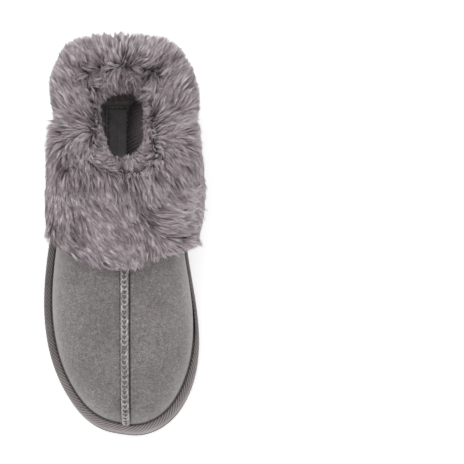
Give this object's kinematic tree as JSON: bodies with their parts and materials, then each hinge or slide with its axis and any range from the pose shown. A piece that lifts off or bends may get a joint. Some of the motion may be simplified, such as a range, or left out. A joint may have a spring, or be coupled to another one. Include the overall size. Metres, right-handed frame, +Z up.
{
  "type": "house slipper",
  "caption": "Closed-back house slipper for the right foot: suede vamp with a raised centre seam, long faux-fur cuff turned down round the ankle, ribbed platform sole.",
  "frame": {"origin": "on the floor, at the centre of the slipper's bounding box", "axes": "+Z up, -Y towards the toe, +Y towards the heel, +X towards the medial (big-toe) side"},
  "size_m": [0.1048, 0.2562, 0.0952],
  "materials": {
    "outsole_rubber": "matte moulded rubber with slanted tread grooves",
    "platform_foam": "closed-cell foam",
    "band_vinyl": "satin, finely ribbed on the slant",
    "fibreboard": "pressed fibreboard",
    "cushion_foam": "open-cell cushion foam",
    "sock_leatherette": "matte fine-grained leatherette",
    "lining_fleece": "brushed fleece",
    "stiffener": "thermoplastic stiffener sheet",
    "suede": "short-napped faux suede",
    "seam_cord": "suede-covered piping",
    "seam_thread": "thick matte thread",
    "fur_cloth": "knitted base cloth of faux fur",
    "fur_pile": "long soft faux-fur pile"
  },
  "bodies": {
    "root": {"outsole": "outsole_rubber", "platform": "platform_foam", "sole_band": "band_vinyl", "insole_board": "fibreboard", "insole_foam": "cushion_foam", "insole_sock": "sock_leatherette", "vamp_lining": "lining_fleece", "quarter_lining": "lining_fleece", "toe_puff": "stiffener", "heel_counter": "stiffener", "vamp_medial": "suede", "vamp_lateral": "suede", "quarter_medial": "suede", "quarter_lateral": "suede", "vamp_seam_piping": "seam_cord", "vamp_seam_stitches": "seam_thread", "front_cuff_cloth_medial": "fur_cloth", "front_cuff_cloth_lateral": "fur_cloth", "heel_cuff_cloth_medial": "fur_cloth", "heel_cuff_cloth_lateral": "fur_cloth", "front_cuff_pile_medial": "fur_pile", "front_cuff_pile_lateral": "fur_pile", "heel_cuff_pile_medial": "fur_pile", "heel_cuff_pile_lateral": "fur_pile", "facing_pile_front": "fur_pile", "facing_pile_heel": "fur_pile"}
  },
  "joints": []
}
